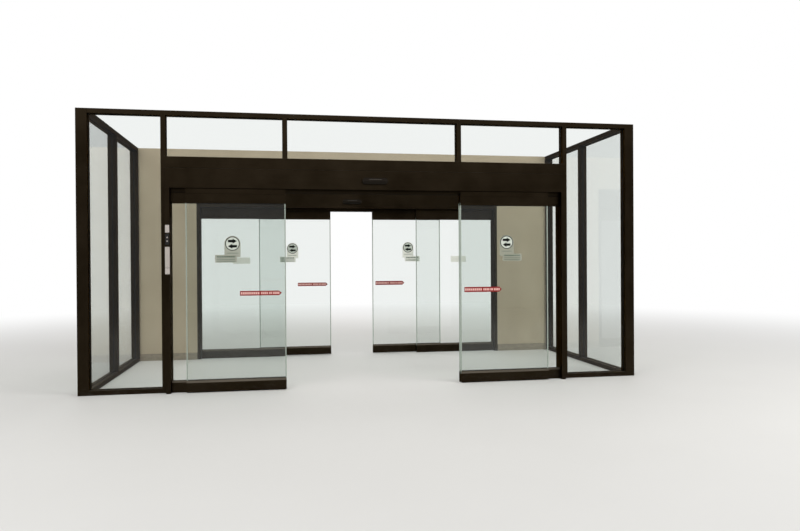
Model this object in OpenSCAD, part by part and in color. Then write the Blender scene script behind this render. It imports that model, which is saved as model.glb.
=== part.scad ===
// Glazed entrance vestibule: a framed glass box against a wall, with a pair of sliding glass doors front and rear.
// X runs across the doors, Y from the lobby to the street, Z up from the floor.

/* [Vestibule] */
// Overall width over the corner posts
overall_w = 6350; // [6150:10:7600]
// Height from the floor to the top of the frame
overall_h = 3050; // [2800:10:3600]
// Depth from the front face of the frame to the rear wall
vestibule_d = 2540; // [1800:10:4000]

/* [Framing] */
// Face width of the mullions, head rails and sill rails
mullion_w = 51; // [45:1:75]
// Depth of the framing, which is also the side of a corner post
frame_d = 114; // [90:1:150]
// Wall of the hollow framing members
tube_t = 3; // [2:0.5:4]
// Glass width between a corner post and the mullion beside the doors
corner_lite_w = 745; // [500:5:800]
// Glass width of the middle pane over the header
mid_transom_w = 1940; // [1200:10:2400]

/* [Fixed glazing] */
// Thickness of the fixed panes
lite_t = 10; // [6:1:14]
// Depth of the glazing pockets in the framing
pocket_d = 12; // [8:1:14]
// Thickness of a glazing gasket
gasket_t = 5; // [3:0.5:7]
// How far a gasket shows past the framing
gasket_lip = 3; // [1:0.5:5]

/* [Door header] */
// Height from the floor to the underside of the header
door_h = 2210; // [2050:5:2300]
// Height of the whole header
header_h = 335; // [300:5:400]
// Height of the removable cover
cover_h = 215; // [200:5:230]
// How far the header stands proud of the framing
header_proud = 71; // [66:1:90]
// Sheet thickness of the header and its cover
header_t = 4; // [3:0.5:5]
// Width of the slot under the header that the hangers run in
slot_w = 54; // [50:1:60]
// Width of the lip that the cover turns in under the header
cover_lip = 9; // [6:1:10]
// Height of the hook that the cover hangs on
hook_h = 18; // [14:1:20]
// Play of the cover in its hook
hook_gap = 2; // [1:0.5:3]

/* [Door glass] */
// Thickness of the door and sidelite glass
glass_t = 12; // [8:1:14]
// Width of the bevel on the upright edges of the glass
arris = 1.5; // [0.5:0.5:3]
// Gap between a fully open door and its jamb
park_gap = 161; // [120:1:200]
// Overlap of a closed door on its sidelite
leaf_overlap = 73; // [50:1:90]
// Gap between the leading edges of closed doors
meeting_gap = 6; // [5:1:10]
// Gap between the rear doors as they stand, part open
rear_gap = 640; // [20:10:1500]
// Width of a door jamb tube
jamb_w = 48; // [40:1:60]

/* [Door rails] */
// Thickness of the rails that clamp the glass
rail_t = 44; // [40:1:50]
// Height of the flat face of a bottom rail
rail_face_h = 100; // [80:1:130]
// Height of the tapered edge of a rail, where it meets the glass
taper_h = 22; // [12:1:30]
// Width of the land beside the glass at the end of the taper
taper_land = 3; // [2:0.5:5]
// Height of the top rail of a door
top_rail_h = 115; // [100:1:125]
// Depth that the glass enters a rail
glass_bite = 25; // [15:1:35]
// Wall of the rail extrusions
rail_wall = 3.5; // [2.5:0.5:5]
// Thickness of the caps on the ends of the rails
cap_t = 3; // [2:0.5:5]
// Width of the mouth of the T-slot along the edge of a rail
slot_mouth = 16; // [16:1:18]
// Depth of the lips of the T-slot
slot_lip = 8; // [6:1:10]
// Width of the T-slot behind its lips
slot_channel = 26; // [26:1:30]
// Depth of the whole T-slot
slot_d = 30; // [28:1:34]
// Gap between a door and the floor
floor_gap = 8; // [8:1:12]
// Gap between a door and the header
hanger_gap = 45; // [35:1:60]
// Gap between a door and its sidelite
leaf_gap = 16; // [8:1:18]

/* [Running gear] */
// Height of the track above the underside of the header
track_z = 75; // [70:1:90]
// Radius of the running bead of the track
bead_r = 4; // [3:0.5:5]
// Height from the foot of the track to the top of its bead
track_h = 18; // [16:1:22]
// Thickness of the ledge of the track
ledge_t = 6; // [4:0.5:8]
// Thickness of the web and the flange of the track
web_t = 4; // [3:0.5:5]
// Width of the flange that bolts to the header
flange_w = 30; // [24:1:40]
// Radius of a hanger wheel over its flanges
wheel_r = 22; // [18:1:26]
// Width of a hanger wheel
wheel_w = 14; // [12:1:16]
// Distance between the two wheels of a carriage
wheel_span = 90; // [80:1:120]
// Distance of a carriage from the edge of its door
carriage_inset = 170; // [120:5:250]
// Thickness of the plate of a carriage
carriage_t = 5; // [4:0.5:6]
// Radius of the roller that keeps a carriage down
roller_r = 8; // [6:1:8]
// Radius of the hanger bolt
bolt_r = 6; // [5:0.5:7]
// Width over the square head of the hanger bolt
bolt_head_w = 24; // [20:1:25]
// Distance of the belt's middle below the header beam
belt_drop = 50; // [45:1:55]
// Diameter of the belt pulleys
pulley_d = 50; // [40:1:60]
// Distance of a pulley from the end of the header
pulley_inset = 120; // [90:5:125]
// Width of the drive belt
belt_w = 10; // [8:1:15]
// Thickness of the drive belt
belt_t = 3; // [2:0.5:4]

/* [Floor guides] */
// Thickness of the fin that stands in the slot of a door
guide_t = 6; // [4:1:6]
// Length of a floor guide
guide_l = 50; // [30:5:80]
// Distance of a floor guide from the end of the sidelite
guide_inset = 12; // [9:1:30]
// Height of the fin above the floor
guide_h = 30; // [20:1:32]

/* [Rear wall] */
// Thickness of the rear wall
wall_t = 200; // [190:5:300]
// Height of the skirting
skirting_h = 100; // [60:5:150]
// Thickness of the skirting
skirting_t = 12; // [8:1:20]
// Bevel along the top of the skirting
skirting_bevel = 3; // [1:0.5:6]

/* [Motion sensors] */
// Length of a motion sensor
sensor_l = 285; // [200:5:350]
// Height of a motion sensor
sensor_h = 65; // [50:1:80]
// Depth of a motion sensor
sensor_d = 48; // [35:1:60]
// Height of a motion sensor above the underside of the header
sensor_z = 65; // [30:1:100]
// Height of the sloped lower part of a sensor
sensor_slope = 29; // [20:1:40]
// Length of the window in the face of a sensor
lens_l = 180; // [80:5:200]

/* [Switch plates] */
// Height of the lowest switch plate above the floor
switch_z = 1284; // [900:1:1400]
// Margin beside the two narrow plates
plate_margin = 3; // [0:0.5:8]
// Thickness of the switch plates
plate_t = 4; // [2:0.5:6]
// Corner radius of the switch plates
plate_r = 4; // [1:0.5:8]
// Height of the lowest plate
low_plate_h = 66; // [40:1:100]
// Height of the long plate
long_plate_h = 223; // [120:1:300]
// Height of the plate with the round keys
key_plate_h = 118; // [90:1:160]
// Height of the highest plate
top_plate_h = 82; // [40:1:120]
// Gap between the lowest plate and the long one
low_plate_gap = 3; // [1:1:20]
// Gap between the long plate and the one with the keys
key_plate_gap = 22; // [1:1:40]
// Gap between the plate with the keys and the highest one
top_plate_gap = 13; // [1:1:40]
// Diameter of a round key
key_d = 14; // [8:1:20]
// Distance between the two keys
key_pitch = 40; // [25:1:60]

/* [Hidden] */
$fn = 48;
bronze = [0.15, 0.12, 0.08];
satin = [0.62, 0.62, 0.6];
glass_tint = [0.72, 0.84, 0.78, 0.35];
plaster = [0.75, 0.71, 0.62];
tile = [0.62, 0.6, 0.54];
black = [0.05, 0.05, 0.05];
white = [0.85, 0.85, 0.82];

half_w = overall_w / 2;
head_z = overall_h - mullion_w;
header_z = door_h + header_h;
beam_z = door_h + cover_h;
unit_half = half_w - frame_d - corner_lite_w - mullion_w;
lite_y = frame_d / 2;
pocket_w = lite_t + 2 * gasket_t;
bay_l = (vestibule_d - frame_d - 2 * mullion_w) / 2;
mid_mullion_y = frame_d + bay_l;
end_mullion_y = vestibule_d - mullion_w;
unit_d = header_proud + frame_d;

jamb_in = unit_half - jamb_w;
clear_half = (jamb_in - park_gap - leaf_overlap + meeting_gap / 2) / 2;
leaf_w = clear_half - meeting_gap / 2 + leaf_overlap;
leaf_y = -leaf_gap - rail_t / 2;
sidelite_y = rail_t / 2;
leaf_top = door_h - hanger_gap;
glass_top = leaf_top - top_rail_h;
leaf_bottom_rail_h = rail_face_h + taper_h;
fixed_bottom_rail_h = floor_gap + leaf_bottom_rail_h;

slot_front = -header_proud + cover_lip;
lip_upturn = 12;
cover_reach = 18;
rebate = 2;

running_gap = 0.5;
bead_z = door_h + track_z;
ledge_z = bead_z - track_h;
stem_t = 5;
web_y = leaf_y + 38;
wheel_z = bead_z + wheel_r - bead_r;
wheel_gap = 3;
plate_front = leaf_y - wheel_w / 2 - wheel_gap - carriage_t;
block_w = 50;
block_h = 26;
block_gap = 8;
block_z = ledge_z - block_gap - block_h;
roller_gap = 2;
stop_gap = 5;
stop_l = 30;
stop_h = 33;

belt_z = beam_z - belt_drop;
belt_y = leaf_y + 18;
pulley_x = unit_half - pulley_inset;
arm_gap = 7;
low_arm_z = belt_z - pulley_d / 2 - belt_t - arm_gap;
high_arm_z = belt_z + pulley_d / 2 - arm_gap;

y_front = -header_proud - sensor_d;
y_back = vestibule_d + max(wall_t, unit_d + sensor_d);
y_mid = (y_front + y_back) / 2;

side_transom_w = unit_half - mid_transom_w / 2 - mullion_w;
side_transom_x = mid_transom_w / 2 + mullion_w + side_transom_w / 2;

// Centre x, width, low z and high z of each pane in the front screen
front_panes = [
    for (side = [-1, 1]) [side * (half_w - frame_d - corner_lite_w / 2), corner_lite_w, mullion_w, head_z],
    for (side = [-1, 1]) [side * side_transom_x, side_transom_w, header_z, head_z],
    [0, mid_transom_w, header_z, head_z]
];
// Centre y of the two bays of a side wall
bay_y = [frame_d + bay_l / 2, mid_mullion_y + mullion_w + bay_l / 2];

narrow_plate_w = jamb_w - 2 * plate_margin;
long_plate_z = switch_z + low_plate_h + low_plate_gap;
key_plate_z = long_plate_z + long_plate_h + key_plate_gap;
top_plate_z = key_plate_z + key_plate_h + top_plate_gap;
// Low z, height and width of each switch plate
switch_stack = [
    [switch_z, low_plate_h, jamb_w],
    [long_plate_z, long_plate_h, jamb_w],
    [key_plate_z, key_plate_h, narrow_plate_w],
    [top_plate_z, top_plate_h, narrow_plate_w]
];

// Places what is drawn with the front face of the framing at y = 0
module placed() {
    translate([0, -y_mid, 0]) children();
}

// The front door unit as drawn, and the rear one turned to face the street
module front_unit() {
    placed() children();
}

module rear_unit() {
    placed() translate([0, vestibule_d + frame_d, 0]) mirror([0, 1, 0]) children();
}

// A copy on the left and on the right
module both_sides() {
    for (side = [0, 1]) mirror([side, 0, 0]) children();
}

// Extrudes an outline drawn in Y and Z along X
module along_x(from, to) {
    translate([from, 0, 0]) rotate([90, 0, 90]) linear_extrude(to - from) children();
}

// Extrudes an outline drawn in X and Z along Y
module along_y(from, to) {
    translate([0, to, 0]) rotate([90, 0, 0]) linear_extrude(to - from) children();
}

// Section of a hollow framing member, with room for glazing pockets at its two narrow sides
module member_section() {
    difference() {
        square([mullion_w, frame_d], center = true);
        difference() {
            square([mullion_w - 2 * tube_t, frame_d - 2 * tube_t], center = true);
            pocket_housings(mullion_w);
        }
    }
}

module post_section() {
    difference() {
        square([frame_d, frame_d], center = true);
        difference() {
            square([frame_d - 2 * tube_t, frame_d - 2 * tube_t], center = true);
            pocket_housings(frame_d);
            rotate(90) pocket_housings(frame_d);
        }
    }
}

module pocket_housings(width) {
    for (side = [-1, 1]) {
        translate([side * width / 2, 0]) square([2 * (pocket_d + tube_t), pocket_w + 2 * tube_t], center = true);
    }
}

// A pane of the front screen, grown by the given amount at each edge
module front_pane(pane, thickness, grow) {
    translate([pane[0], lite_y, (pane[2] + pane[3]) / 2])
        cube([pane[1] + 2 * grow, thickness, pane[3] - pane[2] + 2 * grow], center = true);
}

// A pane of the right side wall
module side_pane(y, thickness, grow) {
    translate([half_w - lite_y, y, (mullion_w + head_z) / 2])
        cube([thickness, bay_l + 2 * grow, head_z - mullion_w + 2 * grow], center = true);
}

// Cuts the glazing pockets of every pane
module pocketed() {
    difference() {
        children();
        for (pane = front_panes) front_pane(pane, pocket_w, pocket_d);
        both_sides() for (y = bay_y) side_pane(y, pocket_w, pocket_d);
    }
}

module corner_posts() {
    color(bronze) placed() pocketed() both_sides()
        translate([half_w - frame_d / 2, frame_d / 2, 0]) linear_extrude(overall_h) post_section();
}

module jamb_mullions() {
    color(bronze) placed() pocketed() both_sides()
        translate([unit_half + mullion_w / 2, frame_d / 2, 0]) linear_extrude(head_z) member_section();
}

module transom_mullions() {
    color(bronze) placed() pocketed() both_sides()
        translate([(mid_transom_w + mullion_w) / 2, frame_d / 2, header_z])
            linear_extrude(head_z - header_z) member_section();
}

module head_rail() {
    color(bronze) placed() pocketed() along_x(frame_d - half_w, half_w - frame_d)
        translate([frame_d / 2, overall_h - mullion_w / 2]) rotate(90) member_section();
}

module sill_rails() {
    color(bronze) placed() pocketed() both_sides() along_x(unit_half + mullion_w, half_w - frame_d)
        translate([frame_d / 2, mullion_w / 2]) rotate(90) member_section();
}

module corner_glass() {
    color(glass_tint) placed() for (pane = [front_panes[0], front_panes[1]]) front_pane(pane, lite_t, pocket_d);
}

module transom_glass() {
    color(glass_tint) placed() for (index = [2:4]) front_pane(front_panes[index], lite_t, pocket_d);
}

module side_mullions() {
    color(bronze) placed() pocketed() both_sides() for (y = [mid_mullion_y, end_mullion_y])
        translate([half_w - frame_d / 2, y + mullion_w / 2, 0]) linear_extrude(head_z) rotate(90) member_section();
}

module side_rails() {
    color(bronze) placed() pocketed() both_sides() {
        along_y(frame_d, vestibule_d)
            translate([half_w - frame_d / 2, overall_h - mullion_w / 2]) rotate(90) member_section();
        for (y = bay_y) along_y(y - bay_l / 2, y + bay_l / 2)
            translate([half_w - frame_d / 2, mullion_w / 2]) rotate(90) member_section();
    }
}

module side_glass() {
    color(glass_tint) placed() both_sides() for (y = bay_y) side_pane(y, lite_t, pocket_d);
}

module glazing_gaskets() {
    color(black) placed() {
        for (pane = front_panes) difference() {
            front_pane(pane, pocket_w, pocket_d);
            front_pane(pane, lite_t, pocket_d + 1);
            front_pane(pane, pocket_w + 2, -gasket_lip);
        }
        both_sides() for (y = bay_y) difference() {
            side_pane(y, pocket_w, pocket_d);
            side_pane(y, lite_t, pocket_d + 1);
            side_pane(y, pocket_w + 2, -gasket_lip);
        }
    }
}

module rear_wall_piers() {
    color(plaster) placed() both_sides()
        translate([unit_half, vestibule_d, 0]) cube([half_w - unit_half, wall_t, overall_h]);
}

module rear_wall_over_door() {
    color(plaster) placed()
        translate([-unit_half, vestibule_d, header_z]) cube([2 * unit_half, wall_t, overall_h - header_z]);
}

module rear_skirting() {
    color(tile) placed() both_sides() along_x(unit_half, half_w - frame_d) translate([vestibule_d, 0]) polygon([
        [0, 0], [0, skirting_h], [skirting_bevel - skirting_t, skirting_h],
        [-skirting_t, skirting_h - skirting_bevel], [-skirting_t, 0]
    ]);
}

// Section of the header: a box beam on top, a hook for the cover, a back plate and a floor plate behind the slot
module header_section() {
    floor_w = frame_d - slot_front - slot_w;
    difference() {
        translate([-header_proud, beam_z]) square([unit_d, header_h - cover_h]);
        difference() {
            translate([-header_proud + header_t, beam_z + header_t])
                square([unit_d - 2 * header_t, header_h - cover_h - 2 * header_t]);
            translate([lite_y - pocket_w / 2 - header_t, header_z - pocket_d - header_t])
                square([pocket_w + 2 * header_t, pocket_d + header_t]);
        }
    }
    cover_hook();
    translate([frame_d - header_t, door_h]) square([header_t, cover_h]);
    translate([frame_d - floor_w, door_h]) square([floor_w, header_t]);
    translate([frame_d - floor_w, door_h]) square([header_t, lip_upturn]);
}

// Trough under the beam that the turned edge of the cover drops into
module cover_hook() {
    trough_w = header_t + 2 * hook_gap;
    trough_y = -header_proud + cover_reach - header_t - hook_gap;
    foot_z = beam_z - hook_h;
    translate([trough_y + trough_w, foot_z]) square([header_t, hook_h]);
    translate([trough_y - header_t, foot_z]) square([trough_w + 2 * header_t, header_t]);
    translate([trough_y - header_t, foot_z]) square([header_t, hook_h / 2]);
}

module header() {
    color(bronze) {
        along_x(-unit_half, unit_half) header_section();
        both_sides() translate([unit_half - header_t, -header_proud, door_h]) cube([header_t, unit_d, header_h]);
    }
}

module front_header() {
    front_unit() difference() {
        header();
        for (index = [2:4]) front_pane(front_panes[index], pocket_w, pocket_d);
    }
}

// Removable cover: a lip under the slot, an edge turned down into the hook, and a rebate that makes the joint line
module header_cover() {
    edge_h = hook_h - header_t;
    color(bronze) along_x(header_t - unit_half, unit_half - header_t) difference() {
        union() {
            translate([-header_proud, door_h]) square([header_t, cover_h]);
            translate([-header_proud, door_h]) square([cover_lip, header_t]);
            translate([slot_front - header_t, door_h]) square([header_t, lip_upturn]);
            translate([-header_proud, beam_z - header_t]) square([cover_reach, header_t]);
            translate([-header_proud + cover_reach - header_t, beam_z - edge_h]) square([header_t, edge_h]);
        }
        translate([-header_proud - 1, beam_z - rebate]) square([rebate + 1, rebate + 1]);
    }
}

// Track with a round running bead, a ledge, and a web that hangs from the header beam
module track_section() {
    translate([leaf_y, bead_z - bead_r]) circle(bead_r);
    translate([leaf_y - stem_t / 2, ledge_z]) square([stem_t, track_h - bead_r]);
    translate([leaf_y - stem_t / 2, ledge_z]) square([web_y - leaf_y + stem_t / 2, ledge_t]);
    translate([web_y, ledge_z]) square([web_t, beam_z - ledge_z]);
    translate([web_y - flange_w / 3, beam_z - web_t]) square([flange_w, web_t]);
}

// A disc or a pin that lies along Y
module disc(radius, from, to) {
    translate([0, to, 0]) rotate([90, 0, 0]) cylinder(r = radius, h = to - from);
}

// Belt pulley with two flanges, on an axle in a bracket of the track
module pulley() {
    flange_t = 2;
    flange_r = pulley_d / 2 + belt_t + 1;
    side = belt_w / 2 + running_gap;
    bracket_w = 60;
    bracket_t = 5;
    bracket_z = -pulley_d / 2 - 10;
    translate([pulley_x, belt_y, belt_z]) {
        disc(pulley_d / 2, -side, side);
        disc(flange_r, -side - flange_t, -side);
        disc(flange_r, side, side + flange_t);
        disc(bolt_r, -side - flange_t - 3, web_y - belt_y);
        translate([-bracket_w / 2, web_y - belt_y - bracket_t, bracket_z])
            cube([bracket_w, bracket_t, belt_drop - web_t - bracket_z]);
    }
}

// Stop that the last wheel of an open door comes up to
module wheel_stop() {
    stop_x = clear_half + leaf_w - carriage_inset + wheel_span / 2 + wheel_r + stop_gap;
    translate([stop_x, leaf_y - stem_t / 2, ledge_z]) cube([stop_l, web_y - leaf_y + stem_t / 2, stop_h]);
}

module track() {
    color(satin) {
        along_x(header_t - unit_half, unit_half - header_t) track_section();
        both_sides() pulley();
        both_sides() wheel_stop();
    }
}

// Drive belt, one loop round a pulley at each end of the header
module belt() {
    color(black) translate([0, 0, belt_z]) along_y(belt_y - belt_w / 2, belt_y + belt_w / 2) difference() {
        belt_outline(pulley_d / 2 + belt_t);
        belt_outline(pulley_d / 2);
    }
}

module belt_outline(radius) {
    square([2 * pulley_x, 2 * radius], center = true);
    for (side = [-1, 1]) translate([side * pulley_x, 0]) circle(radius);
}

// Door jamb tube with a groove for the sidelite glass
module jamb() {
    color(bronze) both_sides() difference() {
        translate([jamb_in, -header_proud, 0]) linear_extrude(door_h) difference() {
            square([jamb_w, unit_d]);
            difference() {
                translate([tube_t, tube_t]) square([jamb_w - 2 * tube_t, unit_d - 2 * tube_t]);
                translate([0, header_proud + sidelite_y - glass_t / 2 - tube_t])
                    square([pocket_d + tube_t, glass_t + 2 * tube_t]);
            }
        }
        sidelite_pane();
    }
}

// Outline of a clamping rail with its foot at z = 0: a flat face, then a taper up to the glass
module rail_outline(height) {
    land = glass_t / 2 + taper_land;
    difference() {
        polygon([
            [-rail_t / 2, 0], [rail_t / 2, 0], [rail_t / 2, height - taper_h],
            [land, height], [-land, height], [-rail_t / 2, height - taper_h]
        ]);
        translate([-glass_t / 2, height - glass_bite]) square([glass_t, glass_bite + 1]);
    }
}

// Section of the rail, with a closed chamber and a T-slot in its foot
module rail_section(height) {
    chamber_z = slot_d + rail_wall;
    difference() {
        rail_outline(height);
        translate([-rail_t / 2 + rail_wall, chamber_z])
            square([rail_t - 2 * rail_wall, height - glass_bite - rail_wall - chamber_z]);
        translate([-slot_mouth / 2, -1]) square([slot_mouth, slot_lip + 2]);
        translate([-slot_channel / 2, slot_lip]) square([slot_channel, slot_d - slot_lip]);
    }
}

// A rail with a cap on its first end, and on its other end where that stands free too
module rail(from, to, height, both_free) {
    along_x(from, to) rail_section(height);
    along_x(from, from + cap_t) rail_outline(height);
    if (both_free) along_x(to - cap_t, to) rail_outline(height);
}

// A sheet of door glass with bevelled upright edges
module glass_sheet(from, to, low, high) {
    half_t = glass_t / 2;
    translate([0, 0, low]) linear_extrude(high - low) polygon([
        [from, arris - half_t], [from + arris, -half_t], [to - arris, -half_t], [to, arris - half_t],
        [to, half_t - arris], [to - arris, half_t], [from + arris, half_t], [from, half_t - arris]
    ]);
}

module sidelite_rails() {
    color(bronze) both_sides() translate([0, sidelite_y, 0]) {
        rail(clear_half, jamb_in, fixed_bottom_rail_h, false);
        translate([0, 0, door_h]) mirror([0, 0, 1]) rail(clear_half, jamb_in, door_h - glass_top, false);
    }
}

module sidelite_pane() {
    translate([0, sidelite_y, 0])
        glass_sheet(clear_half, jamb_in + pocket_d, fixed_bottom_rail_h - glass_bite, glass_top + glass_bite);
}

module sidelite_glass() {
    color(glass_tint) both_sides() sidelite_pane();
}

// A door, drawn on the right with its leading edge at the given distance from the middle
module leaf_rails(lead) {
    color(bronze) translate([0, leaf_y, 0]) {
        translate([0, 0, floor_gap]) rail(lead, lead + leaf_w, leaf_bottom_rail_h, true);
        translate([0, 0, leaf_top]) mirror([0, 0, 1]) rail(lead, lead + leaf_w, top_rail_h, true);
    }
}

module leaf_glass(lead) {
    color(glass_tint) translate([0, leaf_y, 0])
        glass_sheet(lead, lead + leaf_w, floor_gap + leaf_bottom_rail_h - glass_bite, glass_top + glass_bite);
}

// Wheel with a groove that rides on the bead of the track
module hanger_wheel() {
    rotate([90, 0, 0]) rotate_extrude() difference() {
        translate([0, -wheel_w / 2]) square([wheel_r, wheel_w]);
        translate([wheel_r, 0]) circle(bead_r + running_gap);
    }
}

// An axle through the carriage plate, with a nut on its front
module axle(radius) {
    nut_t = 5;
    disc(radius, plate_front - 1, leaf_y);
    translate([0, plate_front, 0]) rotate([90, 0, 0]) cylinder(r = radius * 1.7, h = nut_t, $fn = 6);
}

// Carriage: two wheels on a plate in front of the track, and a roller that runs under its ledge
module carriage() {
    half_l = wheel_span / 2 + 20;
    shoulder = 16;
    plate_top = wheel_z + 14;
    axle_r = 5;
    roller_axle_r = 3.5;
    color(satin) {
        for (side = [-1, 1]) translate([side * wheel_span / 2, 0, wheel_z]) {
            translate([0, leaf_y, 0]) hanger_wheel();
            axle(axle_r);
        }
        translate([wheel_span / 2, 0, ledge_z - roller_gap - roller_r]) {
            disc(roller_r, leaf_y - wheel_w / 2, leaf_y + wheel_w / 2);
            axle(roller_axle_r);
        }
        along_y(plate_front, plate_front + carriage_t) polygon([
            [-half_l, block_z + shoulder], [shoulder - half_l, block_z], [half_l - shoulder, block_z],
            [half_l, block_z + shoulder], [half_l, plate_top - shoulder], [half_l - shoulder, plate_top],
            [shoulder - half_l, plate_top], [-half_l, plate_top - shoulder]
        ]);
        hanger_bolt();
    }
}

// Block on the carriage and its bolt, whose square head bears up under the lips of the top rail's slot
module hanger_bolt() {
    head_t = 8;
    washer_t = 3;
    nut_t = 9;
    head_z = leaf_top - slot_lip - head_t;
    translate([-block_w / 2, plate_front, block_z]) cube([block_w, leaf_y - plate_front + bolt_r + 8, block_h]);
    translate([0, leaf_y, 0]) {
        translate([-bolt_head_w / 2, -bolt_head_w / 2, head_z]) cube([bolt_head_w, bolt_head_w, head_t]);
        translate([0, 0, head_z]) cylinder(r = bolt_r, h = block_z + 1 - head_z);
        translate([0, 0, leaf_top]) cylinder(r = bolt_r + 7, h = washer_t);
        translate([0, 0, leaf_top + washer_t]) cylinder(r = bolt_r * 1.8, h = nut_t, $fn = 6);
    }
}

// Arm from a carriage to a run of the belt, with its top at the given height
module belt_arm(top) {
    arm_w = 24;
    arm_t = 4;
    shoulder = 16;
    foot = wheel_z;
    reach = belt_y + belt_w / 2 + 3 - plate_front;
    color(satin) {
        translate([-arm_w / 2, plate_front, foot]) cube([arm_w, carriage_t, top - foot]);
        translate([-arm_w / 2, plate_front, top - arm_t]) cube([arm_w, reach, arm_t]);
        translate([-shoulder, plate_front + reach - belt_w - 6, top - arm_t]) cube([2 * shoulder, belt_w + 6, arm_t]);
    }
}

module leaf_carriages(lead, arm_z) {
    translate([lead + carriage_inset, 0, 0]) {
        carriage();
        belt_arm(arm_z);
    }
    translate([lead + leaf_w - carriage_inset, 0, 0]) mirror([1, 0, 0]) carriage();
}

// Outline of a rounded bar, centred
module bar_outline(length, height, radius) {
    square([length - 2 * radius, height], center = true);
    square([length, height - 2 * radius], center = true);
    for (x = [radius - length / 2, length / 2 - radius], z = [radius - height / 2, height / 2 - radius])
        translate([x, z]) circle(radius);
}

// Motion sensor: round ends, a lower front edge that slopes back, and a sunk window in its face
module sensor(y) {
    end_r = sensor_h * 0.46;
    lens_h = 14;
    lens_sink = 2;
    color(black) translate([0, 0, door_h + sensor_z]) difference() {
        intersection() {
            along_x(-sensor_l / 2, sensor_l / 2) translate([y, 0]) polygon([
                [0, 0], [0, sensor_h], [-sensor_d, sensor_h], [-sensor_d, sensor_slope], [-sensor_d / 2, 0]
            ]);
            along_y(y - sensor_d, y) translate([0, sensor_h / 2]) bar_outline(sensor_l, sensor_h, end_r);
        }
        along_y(y - sensor_d - 1, y - sensor_d + lens_sink)
            translate([0, (sensor_slope + sensor_h) / 2]) bar_outline(lens_l, lens_h, lens_h / 2 - 1);
    }
}

module sensor_pair() {
    sensor(-header_proud);
    translate([0, frame_d, 0]) mirror([0, 1, 0]) sensor(0);
}

module motion_sensors() {
    front_unit() sensor_pair();
    rear_unit() sensor_pair();
}

// Floor guide: a foot beside the sidelite rail and a fin that stands in the slot of the door
module guide_pair() {
    foot_t = 3;
    color(satin) both_sides() translate([clear_half + guide_inset, leaf_y - guide_t / 2, 0]) {
        cube([guide_l, guide_t / 2 - leaf_y, foot_t]);
        cube([guide_l, guide_t, guide_h]);
    }
}

module floor_guides() {
    front_unit() guide_pair();
    rear_unit() guide_pair();
}

// Switch plates one above another on the left door jamb, and two round keys
module switch_plates() {
    plate_y = -header_proud - plate_t;
    color(white) front_unit() translate([jamb_w / 2 - unit_half, 0, 0]) {
        for (plate = switch_stack) along_y(plate_y, -header_proud)
            translate([0, plate[0] + plate[1] / 2]) bar_outline(plate[2], plate[1], plate_r);
        for (side = [-1, 1]) translate([0, plate_y, key_plate_z + (key_plate_h + side * key_pitch) / 2])
            disc(key_d / 2, -plate_t, 0);
    }
}

corner_posts();
jamb_mullions();
transom_mullions();
head_rail();
sill_rails();
corner_glass();
transom_glass();
side_mullions();
side_rails();
side_glass();
glazing_gaskets();
rear_wall_piers();
rear_wall_over_door();
rear_skirting();
front_header();
front_unit() header_cover();  // front_header_cover
front_unit() track();  // front_track
front_unit() belt();  // front_belt
front_unit() jamb();  // front_jambs
front_unit() sidelite_rails();  // front_sidelite_rails
front_unit() sidelite_glass();  // front_sidelite_glass
rear_unit() header();  // rear_header
rear_unit() header_cover();  // rear_header_cover
rear_unit() track();  // rear_track
rear_unit() belt();  // rear_belt
rear_unit() jamb();  // rear_jambs
rear_unit() sidelite_rails();  // rear_sidelite_rails
rear_unit() sidelite_glass();  // rear_sidelite_glass
motion_sensors();
floor_guides();
switch_plates();
front_unit() mirror([1, 0, 0]) leaf_rails(clear_half);  // front_left_rails
front_unit() mirror([1, 0, 0]) leaf_glass(clear_half);  // front_left_glass
front_unit() mirror([1, 0, 0]) leaf_carriages(clear_half, low_arm_z);  // front_left_carriages
front_unit() leaf_rails(clear_half);  // front_right_rails
front_unit() leaf_glass(clear_half);  // front_right_glass
front_unit() leaf_carriages(clear_half, high_arm_z);  // front_right_carriages
rear_unit() mirror([1, 0, 0]) leaf_rails(rear_gap / 2);  // rear_left_rails
rear_unit() mirror([1, 0, 0]) leaf_glass(rear_gap / 2);  // rear_left_glass
rear_unit() mirror([1, 0, 0]) leaf_carriages(rear_gap / 2, low_arm_z);  // rear_left_carriages
rear_unit() leaf_rails(rear_gap / 2);  // rear_right_rails
rear_unit() leaf_glass(rear_gap / 2);  // rear_right_glass
rear_unit() leaf_carriages(rear_gap / 2, high_arm_z);  // rear_right_carriages
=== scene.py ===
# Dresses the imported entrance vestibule: bronze framing, clear door glass, labels, running gear, plain studio
import math
import bmesh
import bpy
from mathutils import Matrix, Vector


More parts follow.
